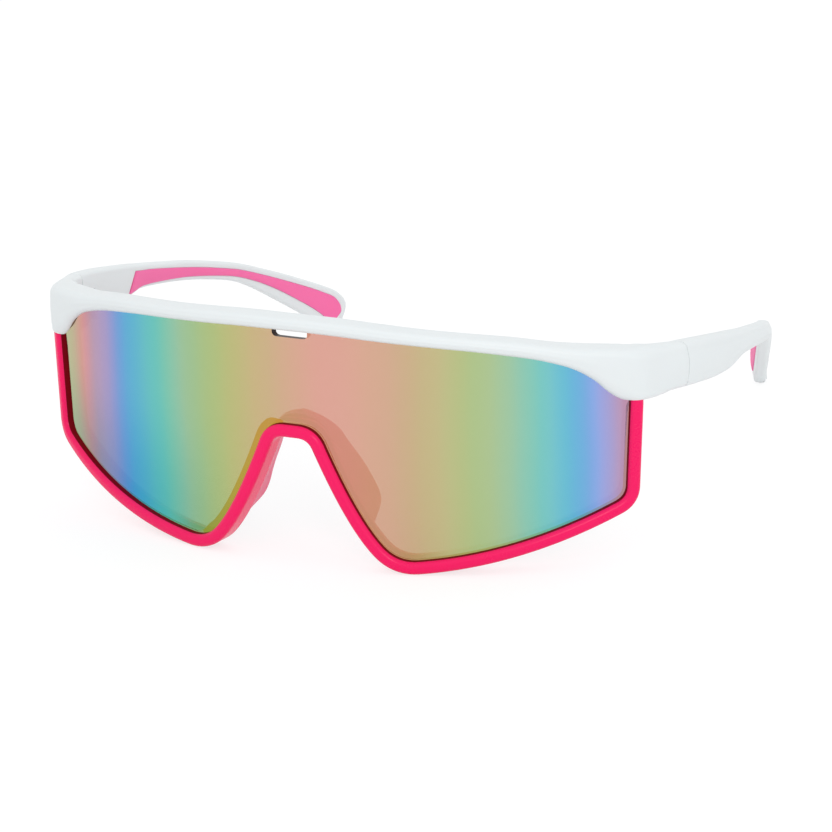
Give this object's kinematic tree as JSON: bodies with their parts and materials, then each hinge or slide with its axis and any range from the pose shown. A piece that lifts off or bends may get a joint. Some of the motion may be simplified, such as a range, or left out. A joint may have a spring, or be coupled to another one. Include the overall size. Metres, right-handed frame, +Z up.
{
  "type": "shield sunglasses",
  "caption": "Shield sunglasses: a one-piece mirrored cylindrical lens under a brow bar, with a plug-in lower rim, a rubber nose pad and folding arms.",
  "frame": {"origin": "centre of the bounding box's bottom face; the rim's two low corners and the two arm tips stand on z = 0", "axes": "+X to the wearer's left, across the front; -Y out of the front of the lens, arms run back along +Y; +Z up"},
  "size_m": [0.1506, 0.1427, 0.0553],
  "materials": {
    "frame_white": "satin injection-moulded white",
    "rim_pink": "glossy hot pink",
    "lens_mirror": "rainbow mirror coating on a grey tint",
    "pad_rubber": "matte soft pink",
    "grip_rubber": "matte pink",
    "hinge_steel": "stamped steel"
  },
  "bodies": {
    "front": {"brow_frame": "frame_white", "lower_rim": "rim_pink", "shield_lens": "lens_mirror", "nose_pad": "pad_rubber", "hinge_front_leaf_left": "hinge_steel", "hinge_front_leaf_right": "hinge_steel", "hinge_screw_left": "hinge_steel", "hinge_screw_right": "hinge_steel"},
    "arm_left": {"temple_left": "frame_white", "temple_grip_left": "grip_rubber", "hinge_temple_leaf_left": "hinge_steel"},
    "arm_right": {"temple_right": "frame_white", "temple_grip_right": "grip_rubber", "hinge_temple_leaf_right": "hinge_steel"}
  },
  "joints": [
    {"name": "arm_left_fold", "type": "hinge", "parent": "front", "child": "arm_left", "pos_m": [0.06739, -0.02979, 0.039], "axis": [0, 0, 1], "range_deg": [0, 90]},
    {"name": "arm_right_fold", "type": "hinge", "parent": "front", "child": "arm_right", "pos_m": [-0.06739, -0.02979, 0.039], "axis": [0, 0, -1], "range_deg": [0, 84]}
  ]
}
